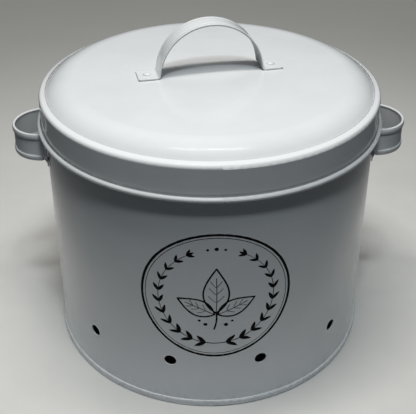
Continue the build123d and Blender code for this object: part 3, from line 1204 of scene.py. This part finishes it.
@dataclass(frozen=True)
class PrintBed:
    """The printed place on the front of the wall, a flat sheet rolled onto the cylinder.

    Ink stands proud of the wall and is sunk under its paint. The bevel is a point of a
    pad's section, at shares of its half width and of its rise, and the top is flat from
    the last share of the half width inwards.
    """

    wall_r: float
    centre_z: float = 102.9 * MM
    proud: float = 0.05 * MM
    sunk: float = 0.08 * MM
    bevel: Pair = (0.86, 0.85)
    flat_share: float = 0.3

    def roll(self, flat: Points, rise: Points) -> Points:
        """Roll flat points onto the wall.

        A flat point (s, h) goes to azimuth s / R from the front, at height h above the
        print's centre, on a cylinder of radius R plus its rise.

        Args:
            flat: Points of the flat print, shape (..., 2).
            rise: How far each point of a section stands off the wall.

        Returns:
            Points in space, shape (..., 3).
        """
        turn, radius = flat[..., 0] / self.wall_r, self.wall_r + rise
        height = self.centre_z + flat[..., 1]
        return np.stack([radius * np.sin(turn), -radius * np.cos(turn), height], axis=-1)

    def pad(self, stroke: Stroke) -> Shell:
        """Make one stroke into a low pad of ink with bevelled edges.

        The section at each point of its line is a loop of eight points across the
        stroke: two sunk under the paint, two at its edges and four on top. An open
        stroke's ends are drawn together to one point.

        Args:
            stroke: The stroke.

        Returns:
            The pad as a closed shell.
        """
        line = stroke.line
        if stroke.closed:
            side = sides(np.roll(line, -1, axis=0) - np.roll(line, 1, axis=0))
        else:
            side = sides(np.gradient(line, axis=0))
        edge, low = self.bevel[0], self.bevel[1] * self.proud
        left = np.array([(-1.0, -self.sunk), (-1.0, 0.0), (-edge, low),
                         (-self.flat_share, self.proud)])
        across, rise = np.concatenate([left, left[::-1] * [-1.0, 1.0]]).T
        reach = stroke.half[:, None] * across[None, :]
        grid = self.roll(line[:, None, :] + side[:, None, :] * reach[..., None], rise)
        if not stroke.closed:
            grid = ends_twice(grid)
            grid[[0, -1]] = grid[[0, -1]].mean(axis=1, keepdims=True)
        return Shell.of_grid(grid, stroke.closed, True)

    def piece(self, name: str, strokes: Sequence[Stroke]) -> Thing:
        """Put several strokes into one piece of ink."""
        return Shell.joined([self.pad(stroke) for stroke in strokes]).to_object(name, weld=True)


@dataclass(frozen=True)
class FrontPrint:
    """Black screen print: two rings, and a leafy wreath round a three-leaved sprig.

    Angles run anticlockwise from the right of the print, and flat places are from its
    middle. The rib and the veins of a leaf are given as shares of its length, and a
    vein's reach as a share of its width.
    """

    bed: PrintBed
    ring_r: float = 52.95 * MM
    ring_ink: float = 2.0 * MM
    hairline_r: float = 50.5 * MM
    hairline_ink: float = 0.55 * MM

    wreath_r: float = 41.0 * MM
    wreath_start: float = -96.0
    wreath_end: float = 60.0
    wreath_pairs: int = 11
    wreath_leaf: Pair = (9.2 * MM, 3.3 * MM)
    bare_stem: float = 16.0
    stem_half: Pair = (0.42 * MM, 0.22 * MM)
    stem_steps: int = 60
    lean: float = 34.0
    shrink: float = 1 / 3

    bold: float = 1.35 * MM
    fine: float = 0.6 * MM
    rib: Sequence[Pair] = ((0.0, 0.0), (0.02, 0.4), (0.0, 0.8))
    veins: Sequence[float] = (0.24, 0.42, 0.58)
    vein_rise: Pair = (0.05, 0.15)
    vein_reach: Pair = (0.36, 0.22)
    vein_ink: float = 0.8
    middle_leaf: Pair = (38 * MM, 18 * MM)
    side_leaf: Pair = (29.0 * MM, 13.5 * MM)
    side_turn: float = 63.0
    side_foot: Pair = (1.3 * MM, -14.6 * MM)
    stem: Sequence[Pair] = ((0.0, -13 * MM), (1.2 * MM, -20 * MM), (-1.5 * MM, -28.5 * MM))
    dots_mm: Sequence[tuple[float, float, float]] = (
        (-7.5, -23.5, 1.5), (7.0, -24.0, 1.5), (-11.8, -20.2, 1.0), (11.4, -20.8, 1.0),
        (0.0, 41.5, 1.5), (-6.0, 40.8, 1.0), (6.0, 40.8, 1.0))

    def wreath(self) -> list[Stroke]:
        """Two mirrored branches that follow a circle, with leaves in pairs.

        Leaf pairs sit on the circle at even shares of the branch; their leaves lean to
        either side of it and shrink towards its end, and one more leaf closes its tip.

        Returns:
            The strokes of both branches.
        """
        angle = np.radians(np.linspace(self.wreath_start, self.wreath_end, self.stem_steps))
        half = np.linspace(*self.stem_half, self.stem_steps)
        branch = [Stroke(self.wreath_r * circle(angle), half)]
        first = self.wreath_start + self.bare_stem
        for turn in np.linspace(first, self.wreath_end, self.wreath_pairs):
            share = (turn - first) / (self.wreath_end - first)
            leaf = tuple(size * (1 - share * self.shrink) for size in self.wreath_leaf)
            foot = self.wreath_r * circle(math.radians(turn))
            branch += [leaf_stroke(leaf).moved(turn + self.lean, foot),
                       leaf_stroke(leaf).moved(turn - self.lean, foot, mirror=True)]
        branch.append(leaf_stroke(leaf, bend=0.0).moved(self.wreath_end, foot))
        return branch + [stroke.moved(mirror=True) for stroke in branch]

    def big_leaf(self, leaf: Pair, turn: float, foot: Pair) -> list[Stroke]:
        """One outlined leaf of the sprig, with its rib and its pairs of veins.

        Args:
            leaf: Length and width of the leaf.
            turn: Turn of the leaf in degrees.
            foot: Where it starts.

        Returns:
            Its strokes.
        """
        length, width = leaf
        made = [leaf_outline(leaf, self.bold),
                curve_stroke(np.array(self.rib) * length, self.fine)]
        for share in self.veins:
            middle, end = ((share + rise) * length for rise in self.vein_rise)
            reach = width * (self.vein_reach[0] - self.vein_reach[1] * share)
            for side in (-reach, reach):
                vein = [(0.0, share * length), (side / 2, middle), (side, end)]
                made.append(curve_stroke(vein, self.fine * self.vein_ink))
        return [stroke.moved(turn, foot) for stroke in made]

    def sprig(self) -> list[Stroke]:
        """Three outlined leaves on a short stem.

        Returns:
            Their strokes.
        """
        made = self.big_leaf(self.middle_leaf, 0.0, self.stem[0])
        for hand in (-1, 1):
            foot = (hand * self.side_foot[0], self.side_foot[1])
            made += self.big_leaf(self.side_leaf, -hand * self.side_turn, foot)
        return made + [curve_stroke(self.stem, self.bold)]

    def dots(self) -> list[Stroke]:
        """Berries beside the stem, and a row of dots that closes the wreath at the top."""
        return [dot_stroke(size * MM).moved(shift=(x * MM, y * MM)) for x, y, size in self.dots_mm]

    def build(self, ink: bpy.types.Material) -> list[Thing]:
        """Make every piece of the print and ride it on the bin.

        Args:
            ink: Its finish.

        Returns:
            The pieces.
        """
        drawn = {
            "print_ring": [circle_stroke(self.ring_r, self.ring_ink)],
            "print_hairline": [circle_stroke(self.hairline_r, self.hairline_ink)],
            "print_wreath": self.wreath(),
            "print_sprig": self.sprig(),
            "print_dots": self.dots(),
        }
        return [finish_piece(self.bed.piece(name, strokes), ink, "bin")
                for name, strokes in drawn.items()]


# ----- Wall and base -----

@dataclass(frozen=True)
class VentLips:
    """Rounded paint lips round the vent holes low in the wall.

    A lip reaches out from the hole's edge, overlaps it inwards, stands proud of the wall
    and is rooted to a depth under its face.
    """

    bed: PrintBed
    count: int = 12
    first: float = 15.0
    height: float = 42.4 * MM
    hole_r: float = 4.5 * MM
    reach: float = 0.75 * MM
    overlap: float = 0.04 * MM
    proud: float = 0.16 * MM
    depth: float = 0.5 * MM
    swell_steps: int = 12
    round_steps: int = 48

    def lip(self) -> tuple[Points, Points]:
        """Section of a lip, as radius from the hole's middle and rise off the wall.

        It starts on the wall outside the hole, swells over the edge with a half oval,
        turns down into the hole and runs back under the wall's face.

        Returns:
            The radii and the rises of the section's points.
        """
        inner, outer = self.hole_r - self.overlap, self.hole_r + self.reach
        half = circle(np.linspace(0.0, np.pi, self.swell_steps))
        swell = half * [(outer - inner) / 2, self.proud] + [(outer + inner) / 2, 0.0]
        return np.concatenate([swell, [[inner, -self.depth], [outer, -self.depth]]]).T

    def build(self, paint: bpy.types.Material) -> Thing:
        """Make all the lips as one piece.

        Angle b round a hole and section point k give the flat point (p cos b, p sin b)
        with its rise, rolled onto the wall at the hole's azimuth.

        Args:
            paint: Their finish.

        Returns:
            The piece, riding on the bin.
        """
        radii, rises = self.lip()
        ring = circle(full_turn(self.round_steps))[:, None, :] * radii[None, :, None]
        shells = []
        for place in range(self.count):
            from_front = math.radians(self.first + place * 360.0 / self.count - FRONT)
            middle = [from_front * self.bed.wall_r, self.height - self.bed.centre_z]
            shells.append(Shell.of_grid(self.bed.roll(ring + middle, rises), True, True))
        piece = Shell.joined(shells).to_object("vent_lips")
        return finish_piece(piece, paint, "bin")


@dataclass(frozen=True)
class Body:
    """The wall and the base: their paint, the vent lips, the base joint and the print."""

    sizes: BinSizes
    paint: GlossPaint
    base_edges: Sequence[Pair] = ((0.0, 1.3 * MM), (5.2 * MM, 0.7 * MM))
    lip_out: float = 0.28 * MM
    lip_z: float = 4.4 * MM
    lip_half: Pair = (1.00 * MM, 1.05 * MM)
    lip_steps: int = 20
    # lighter than the paint: a painted highlight on the base lip
    lip_highlight: Colour = (0.93, 0.94, 0.95)

    def base_lip(self) -> Thing:
        """Make the bright rounded line where the wall stands in the base, in a lighter paint that
        is a painted highlight.

        Returns:
            The piece, riding on the bin.
        """
        # the lip's paint is lighter than the rest, a painted highlight
        lighter_paint = replace(self.paint, base=self.lip_highlight, shade=self.lip_highlight)
        bright = lighter_paint.material("lip_highlight_paint", WearAndShade(WearAndShadeZone.LIP))
        centre = (self.sizes.wall_r + self.lip_out, self.lip_z)
        lip = lathe(oval(centre, self.lip_half, self.lip_steps))
        return finish_piece(lip.to_object("base_lip"), bright, "bin")

    def build(self, nodes: Nodes) -> list[Thing]:
        """Dress the wall and the base and add their pieces.

        Args:
            nodes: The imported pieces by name.

        Returns:
            The new pieces.
        """
        wall = self.paint.material("wall_paint", WearAndShade(WearAndShadeZone.WALL))
        set_material(nodes["body_wall"], wall)
        base = self.paint.material("base_paint", WearAndShade(WearAndShadeZone.BASE, self.base_edges))
        set_material(nodes["base_pan"], base)
        bed = PrintBed(self.sizes.wall_r)
        ink = PrintInk().material("print_ink")
        return [self.base_lip(), VentLips(bed).build(wall), *FrontPrint(bed).build(ink)]


# ----- Side handles -----

@dataclass(frozen=True)
class HandleStrip:
    """Shape of one side handle: a strip with folded edges in a loop, and two flat feet.

    The loop lies in the half plane +X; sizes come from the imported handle's box. The
    foot's edge is given as shares of the sheet.
    """

    wall_r: float
    low: float
    top: float
    reach: float
    foot_end: float
    sheet: float = 0.8 * MM
    fold_in: float = 1.25 * MM
    fold_r: float = 0.6 * MM
    fold_long: float = 3.4 * MM
    fold_belly: float = 0.25 * MM
    web_set: float = 0.5 * MM
    web_ease: float = 1.5 * MM
    half_width: float = 24.5 * MM
    bend_r: float = 3.0 * MM
    seat: float = 0.5 * MM
    foot_inset: float = 0.4 * MM
    foot_corner: float = 3.0 * MM
    foot_edge: Sequence[Pair] = ((0.5, -0.75), (0.5, -0.38), (0.36, -0.11), (0.0, 0.0),
                                 (-0.36, -0.11), (-0.5, -0.38), (-0.5, -0.75))
    overlap: float = 1.0 * MM
    neck_shift: float = 0.03 * MM
    web_steps: int = 18
    fold_steps: int = 10
    back_steps: int = 9
    loop_steps: int = 81
    corner_steps: int = 12
    foot_steps: int = 10
    bend_steps: int = 12

    @property
    def middle_z(self) -> float:
        """Height of the handle's middle."""
        return (self.low + self.top) / 2

    @property
    def half_height(self) -> float:
        """Half the handle's height."""
        return (self.top - self.low) / 2

    @property
    def foot_top_r(self) -> float:
        """Radius of the feet's outer face."""
        return self.wall_r + self.seat + self.sheet

    @property
    def fold_y(self) -> float:
        """Middle of the folded edges, from the handle's middle line."""
        return self.half_width - self.fold_in

    @property
    def web_a(self) -> float:
        """Where the middle of the web's sheet stands, from the middle of the fold."""
        return self.web_set - self.fold_r

    @property
    def loop_x(self) -> float:
        """Where the half circle starts."""
        return self.reach - self.half_width

    def section(self) -> tuple[Points, Points]:
        """Outline and middle line of the strip across the loop.

        With r the fold's radius, s the web's set, e its ease and d the depth below the
        fold, the middle line of the web is a = -r + s S(d / e), with S the smooth step.
        Half a circle of radius r leads over the edge, and the folded sheet runs back
        outside along a = r + b sin(pi t), with b its belly and t from 0 to 1. The
        outline lies half a sheet to both sides of this line.

        Returns:
            The outline as (stand-off, height) points, and the middle line's point for
            each of them.
        """
        rise = self.half_height - self.fold_r - self.sheet / 2
        level = rise * np.sin(np.linspace(0.0, np.pi / 2, self.web_steps))
        stand = self.web_set * smooth_step((rise - level) / self.web_ease) - self.fold_r
        turn = np.linspace(np.pi, 0.0, self.fold_steps)[1:]
        fold = circle(turn) * self.fold_r + [0.0, rise]
        t = np.linspace(0.0, 1.0, self.back_steps)[1:]
        belly = self.fold_r + self.fold_belly * np.sin(np.pi * t)
        back = np.stack([belly, rise - self.fold_long * t], axis=1)
        upper = np.concatenate([np.stack([stand, level], axis=1), fold, back])
        line = np.concatenate([upper[:0:-1] * [1.0, -1.0], upper])
        aside = sides(np.gradient(line, axis=0)) * self.sheet / 2
        outline = np.concatenate([line + aside, (line - aside)[::-1]])
        return outline, np.concatenate([line, line[::-1]])

    def sweep(self, path: Points, out: Points, sections: Points, middle: Points) -> Shell:
        """Carry sections along a level path and close both ends.

        A section point (a, z) at a path point P with outward direction N goes to
        P + a N at height z; the end sections are drawn in to their middle lines.

        Args:
            path: Path points (x, y), shape (n, 2).
            out: Outward directions, shape (n, 2).
            sections: Section at each path point, shape (n, m, 2).
            middle: Middle line's points for the two end sections, shape (2, m, 2).

        Returns:
            The swept shell, in the handle's half plane.
        """
        path, out = ends_twice(path), ends_twice(out)
        sections = np.concatenate([middle[:1], sections, middle[1:]])
        flat = path[:, None, :] + out[:, None, :] * sections[..., :1]
        height = sections[..., 1:] + self.middle_z
        return Shell.of_grid(np.concatenate([flat, height], axis=-1), False, True)

    def loop(self) -> Shell:
        """The strip with its folded edges: a half circle with a short straight lead each side.

        Returns:
            The loop's shell, in the handle's half plane.
        """
        out = circle(np.linspace(np.pi / 2, -np.pi / 2, self.loop_steps))
        path = ends_twice(out * self.fold_y + [self.loop_x, 0.0])
        path[[0, -1], 0] -= self.overlap
        outline, middle = self.section()
        sections = np.broadcast_to(outline, (len(path), *outline.shape))
        return self.sweep(path, ends_twice(out), sections, np.stack([middle, middle]))

    def foot(self, hand: float) -> Shell:
        """A flat foot along the wall, its bend, and the neck that runs into the loop.

        The path is an arc on the wall from the foot's end, an arc of the bend's radius
        about a point outside the corner, and a straight line.

        Args:
            hand: 1 for the foot on the +Y side, -1 for the other.

        Returns:
            The foot's shell, in the handle's half plane.
        """
        seat_r = self.wall_r + self.seat + self.sheet / 2
        web_y = self.fold_y + self.web_a - self.neck_shift
        start = math.asin((web_y + self.bend_r) / (seat_r + self.bend_r))
        end = math.asin(self.foot_end / self.foot_top_r)
        spread = corner_places(self.foot_corner, self.corner_steps)
        arc = np.linspace(end - self.foot_corner / seat_r, start, self.foot_steps)[1:]
        along = circle(np.concatenate([end - spread / seat_r, arc]))
        bent = circle(np.linspace(start, np.pi / 2, self.bend_steps)[1:])
        bend = (seat_r + self.bend_r) * circle(start) - bent * self.bend_r
        path = np.concatenate([along * seat_r, bend, [[self.loop_x + self.overlap, web_y]]])
        out = np.concatenate([along, bent, bent[-1:]])
        gap = np.concatenate([spread, np.full(len(path) - len(spread), self.foot_corner)])
        half = rounded_half(self.half_height - self.foot_inset, self.foot_corner, gap)
        lift = np.stack([np.zeros_like(half), half], axis=1)
        upper = np.array(self.foot_edge) * self.sheet + lift[:, None, :]
        sections = np.concatenate([upper, upper[:, ::-1] * [1.0, -1.0]], axis=1)
        middle = sections[[0, -1]] * [0.0, 1.0]
        hands = np.array([1.0, hand])
        return self.sweep(path * hands, out * hands, sections, middle)

    def piece(self, name: str, side: float) -> Thing:
        """Make the whole handle as one piece.

        Args:
            name: The piece's name.
            side: 1 for the handle at +X, -1 for the one at -X.

        Returns:
            The piece, at the origin.
        """
        whole = Shell.joined([self.loop(), self.foot(1.0), self.foot(-1.0)])
        return Shell(whole.points * [side, 1.0, 1.0], whole.quads).to_object(name, weld=True)


@dataclass(frozen=True)
class SideHandles:
    """The two looped side handles and their rivets."""

    sizes: BinSizes
    paint: GlossPaint
    fillets: RivetFillets = RivetFillets(0.55 * MM)
    rivets: int = 4
    rim: float = 1.2 * MM

    def heads(self, side: str, foot_top_r: float) -> list[tuple[Points, Points]]:
        """Where one handle's rivet heads stand on its feet.

        Args:
            side: "left" or "right".
            foot_top_r: Radius of the feet's outer face.

        Returns:
            The middle of each head on the sheet, and its way out.
        """
        heads = []
        for number in range(1, self.rivets + 1):
            middle = middle_of(f"{side}_handle_rivet_{number}")
            azimuth = math.atan2(middle[1], middle[0])
            out = np.array([math.cos(azimuth), math.sin(azimuth), 0.0])
            heads.append((out * foot_top_r + middle * UP, out))
        return heads

    def build(self, nodes: Nodes) -> list[Thing]:
        """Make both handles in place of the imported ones, and dress their rivets.

        Args:
            nodes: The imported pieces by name.

        Returns:
            The new pieces.
        """
        low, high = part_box("right_handle")
        shape = HandleStrip(self.sizes.wall_r, low[2], high[2], high[0], high[1])
        # painted shade on the inner face of each loop
        face = InnerShade(False, shape.loop_x, shape.fold_y + shape.web_a,
                         shape.middle_z, shape.half_height - self.rim)
        strip = self.paint.material("handle_paint", WearAndShade(WearAndShadeZone.HANDLE, face=face))
        rivet = self.paint.material("rivet_finish", WearAndShade(WearAndShadeZone.RIVET))
        for name, node in nodes.items():
            if "_handle_rivet_" in name:
                set_material(node, rivet)
        made = []
        for side, hand in (("left", -1.0), ("right", 1.0)):
            piece = shape.piece(f"{side}_handle_loop", hand)
            finish_piece(piece, strip, "bin")
            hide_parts(f"{side}_handle")
            heads = self.heads(side, shape.foot_top_r)
            made += [piece, self.fillets.piece(f"{side}_rivet_fillets", heads, rivet, "bin")]
        return made


# ----- Lid -----

@dataclass(frozen=True)
class GripStrip:
    """Shape of the lid handle: a bent strip with a shallow groove along each edge.

    Its places are u along the handle, v across the strip and t out of its middle. The
    flat places are points of the outline between the grooves.
    """

    dome_top: float
    feet: LidFeet
    sheet: float = 1.5 * MM
    bow_r: float = 39.75 * MM
    bend_r: float = 3.0 * MM
    half_length: float = 55.985 * MM
    corner: float = 2.0 * MM
    edge_r: float = 0.35 * MM
    flat_places: Sequence[float] = (0.0, 2.0 * MM, 4.0 * MM)
    edge_turns: Sequence[float] = (60.0, 30.0, 0.0)
    corner_steps: int = 9
    foot_steps: int = 8
    bend_steps: int = 12
    bow_steps: int = 61
    groove_steps: int = 9
    edge_steps: int = 4

    def path(self) -> tuple[Points, Points, Points]:
        """Middle line of the strip from one foot's end to the other.

        It is half a circle about the lid's axis, an arc of the bend's radius outwards at
        each end, and a straight foot whose end has rounded corners.

        Returns:
            Points (u, z), unit directions out of the outer face, and the share of the
            full half width at each point.
        """
        foot_z = self.sheet / 2
        lift = math.asin((foot_z + self.bend_r) / (self.bow_r + self.bend_r))
        centre = (self.bow_r + self.bend_r) * circle(lift)
        spread = corner_places(self.corner, self.corner_steps)
        straight = np.linspace(self.half_length - self.corner, centre[0], self.foot_steps)[1:]
        flat = np.concatenate([self.half_length - spread, straight])
        foot = np.stack([flat, np.full_like(flat, foot_z)], axis=1)
        lean = circle(np.linspace(np.pi / 2, lift, self.bend_steps)[1:])
        bow = circle(np.linspace(lift, np.pi / 2, self.bow_steps)[1:])
        half = np.concatenate([foot, centre - lean * self.bend_r, bow * self.bow_r])
        out = np.concatenate([np.broadcast_to([0.0, 1.0], foot.shape), lean, bow])
        full = self.feet.half_width
        share = rounded_half(full, self.corner, spread) / full
        share = np.concatenate([share, np.ones(len(half) - len(share))])
        mirror = np.array([-1.0, 1.0])
        return (np.concatenate([half, half[-2::-1] * mirror]),
                np.concatenate([out, out[-2::-1] * mirror]),
                np.concatenate([share, share[-2::-1]]))

    def section(self) -> tuple[Points, Points]:
        """Outline of the strip, and how much groove each of its points has.

        The outline is a rectangle with rounded edges. The groove is a hollow of half a
        cosine wave, 1 on its middle line and 0 at its half width, on the outer face.

        Returns:
            The outline as (v, t) points, and the share of groove.
        """
        feet, top = self.feet, self.sheet / 2
        reach = feet.half_width - self.edge_r
        groove = feet.groove + feet.groove_half * np.linspace(-1.0, 1.0, self.groove_steps)
        beside = np.linspace(groove[-1], reach, self.edge_steps)[1:]
        level = np.concatenate([self.flat_places, groove, beside])
        edge = circle(np.radians(self.edge_turns)) * self.edge_r + [reach, top - self.edge_r]
        right = np.concatenate([np.stack([level, np.full_like(level, top)], axis=1), edge])
        upper = np.concatenate([right[:0:-1] * [-1.0, 1.0], right])
        off = np.abs(np.abs(upper[:, 0]) - feet.groove) / feet.groove_half
        hollow = (1 + np.cos(np.pi * np.clip(off, 0.0, 1.0))) / 2
        return (np.concatenate([upper, upper[::-1] * [1.0, -1.0]]),
                np.concatenate([hollow, np.zeros_like(hollow)]))

    def piece(self, name: str) -> Thing:
        """Make the handle.

        Each section point (v, t) at a path point P with direction N goes to P + t N at v,
        and the whole is then turned about the lid's axis.

        Args:
            name: The piece's name.

        Returns:
            The piece, at the origin.
        """
        path, out, share = self.path()
        outline, hollow = self.section()
        rise = smooth_step((path[:, 1] - self.feet.groove_low) / self.feet.groove_foot)
        t = outline[:, 1] - rise[:, None] * hollow * self.feet.groove_depth
        v = outline[:, 0] * share[:, None]
        t, v, path, out = (ends_twice(rows) for rows in (t, v, path, out))
        t[[0, -1]] = 0.0
        u = path[:, :1] + out[:, :1] * t
        z = path[:, 1:] + out[:, 1:] * t + self.dome_top
        grid = np.stack([*spun(u, v, self.feet.turn), z], axis=-1)
        return Shell.of_grid(grid, False, True).to_object(name, weld=True)


@dataclass(frozen=True)
class Lid:
    """The lid: dome, ringed skirt, strip handle and its two rivets.

    The skirt's worn edge and its creases, which hold grime and painted shade, are given from its
    foot up.
    """

    sizes: BinSizes
    paint: GlossPaint
    fillets: RivetFillets = RivetFillets(0.5 * MM)
    rivets: Sequence[str] = ("lid_rivet_near", "lid_rivet_far")
    ring_in_r: float = 125.0 * MM
    skirt_edges: Sequence[Pair] = ((1.0 * MM, 1.6 * MM),)
    # grime and painted shade above the skirt's bead and along its foot
    skirt_creases: Sequence[tuple[float, float, float]] = (
        (4.7 * MM, 1.3 * MM, 0.50), (0.0, 1.6 * MM, 0.6))
    # grime and painted shade at the foot of the grip and round the rivet heads
    foot_crease: Pair = (0.6 * MM, 0.6)
    rivet_crease: Pair = (0.45 * MM, 0.6)
    # share of painted shade on the grip's inner face
    grip_inner_shade: float = 0.65

    def dress_shell(self, nodes: Nodes) -> None:
        """Paint the dome and the skirt.

        Args:
            nodes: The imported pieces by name.
        """
        rim, foot = (self.ring_in_r, self.sizes.ring_top), self.sizes.skirt_foot
        edges = [(foot + up, reach) for up, reach in self.skirt_edges]
        creases = [(foot + up, reach, share) for up, reach, share in self.skirt_creases]
        # the dome gets grime and painted shade along its rim and round the handle's feet; the
        # skirt's ring is painted lighter as painted light, and its creases hold grime and painted
        # shade
        dome = WearAndShade(WearAndShadeZone.DOME, rim=rim)
        skirt = WearAndShade(WearAndShadeZone.SKIRT, edges, creases, rim)
        set_material(nodes["lid_dome"], self.paint.material("dome_paint", dome))
        set_material(nodes["lid_skirt"], self.paint.material("skirt_paint", skirt))

    def build(self, nodes: Nodes) -> list[Thing]:
        """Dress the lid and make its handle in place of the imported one.

        Args:
            nodes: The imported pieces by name.

        Returns:
            The new pieces.
        """
        self.dress_shell(nodes)
        top = self.sizes.dome_top
        shape = GripStrip(top, self.paint.feet)
        seat = top + shape.sheet
        # painted shade on the grip's inner face and in its grooves, with grime and painted shade
        # at its foot
        face = InnerShade(True, top, shape.bow_r, thin=self.grip_inner_shade)
        wear_and_shade = WearAndShade(WearAndShadeZone.GRIP, creases=[(top, *self.foot_crease)], face=face,
                    groove_from=top + shape.feet.groove_low)
        grip = self.paint.material("grip_paint", wear_and_shade)
        strip = finish_piece(shape.piece("lid_grip"), grip, "lid")
        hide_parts("lid_handle")
        # grime and painted shade round the rivet heads
        wear_and_shade = WearAndShade(WearAndShadeZone.RIVET, creases=[(seat, *self.rivet_crease)])
        rivet = self.paint.material("lid_rivet_paint", wear_and_shade)
        heads = []
        for name in self.rivets:
            set_material(nodes[name], rivet)
            heads.append((middle_of(name) * (1 - UP) + seat * UP, UP))
        return [strip, self.fillets.piece("lid_rivet_fillets", heads, rivet, "lid")]


def main() -> None:
    """Build the scene in order and report each piece."""
    logging.basicConfig(level=logging.INFO, format="%(name)s: %(message)s")
    bpy.context.scene.view_settings.view_transform = "Standard"
    camera = Viewpoint().build()
    LOG.info("camera %s, lens %.1f mm", camera.name, camera.data.lens)
    Studio().build()
    sizes = BinSizes.read()
    paint = GlossPaint()
    for assembly in (Body(sizes, paint), SideHandles(sizes, paint), Lid(sizes, paint)):
        for piece in assembly.build(frame["nodes"]):
            LOG.info("%s built %s", type(assembly).__name__, piece.name)


if __name__ == "__main__":
    main()
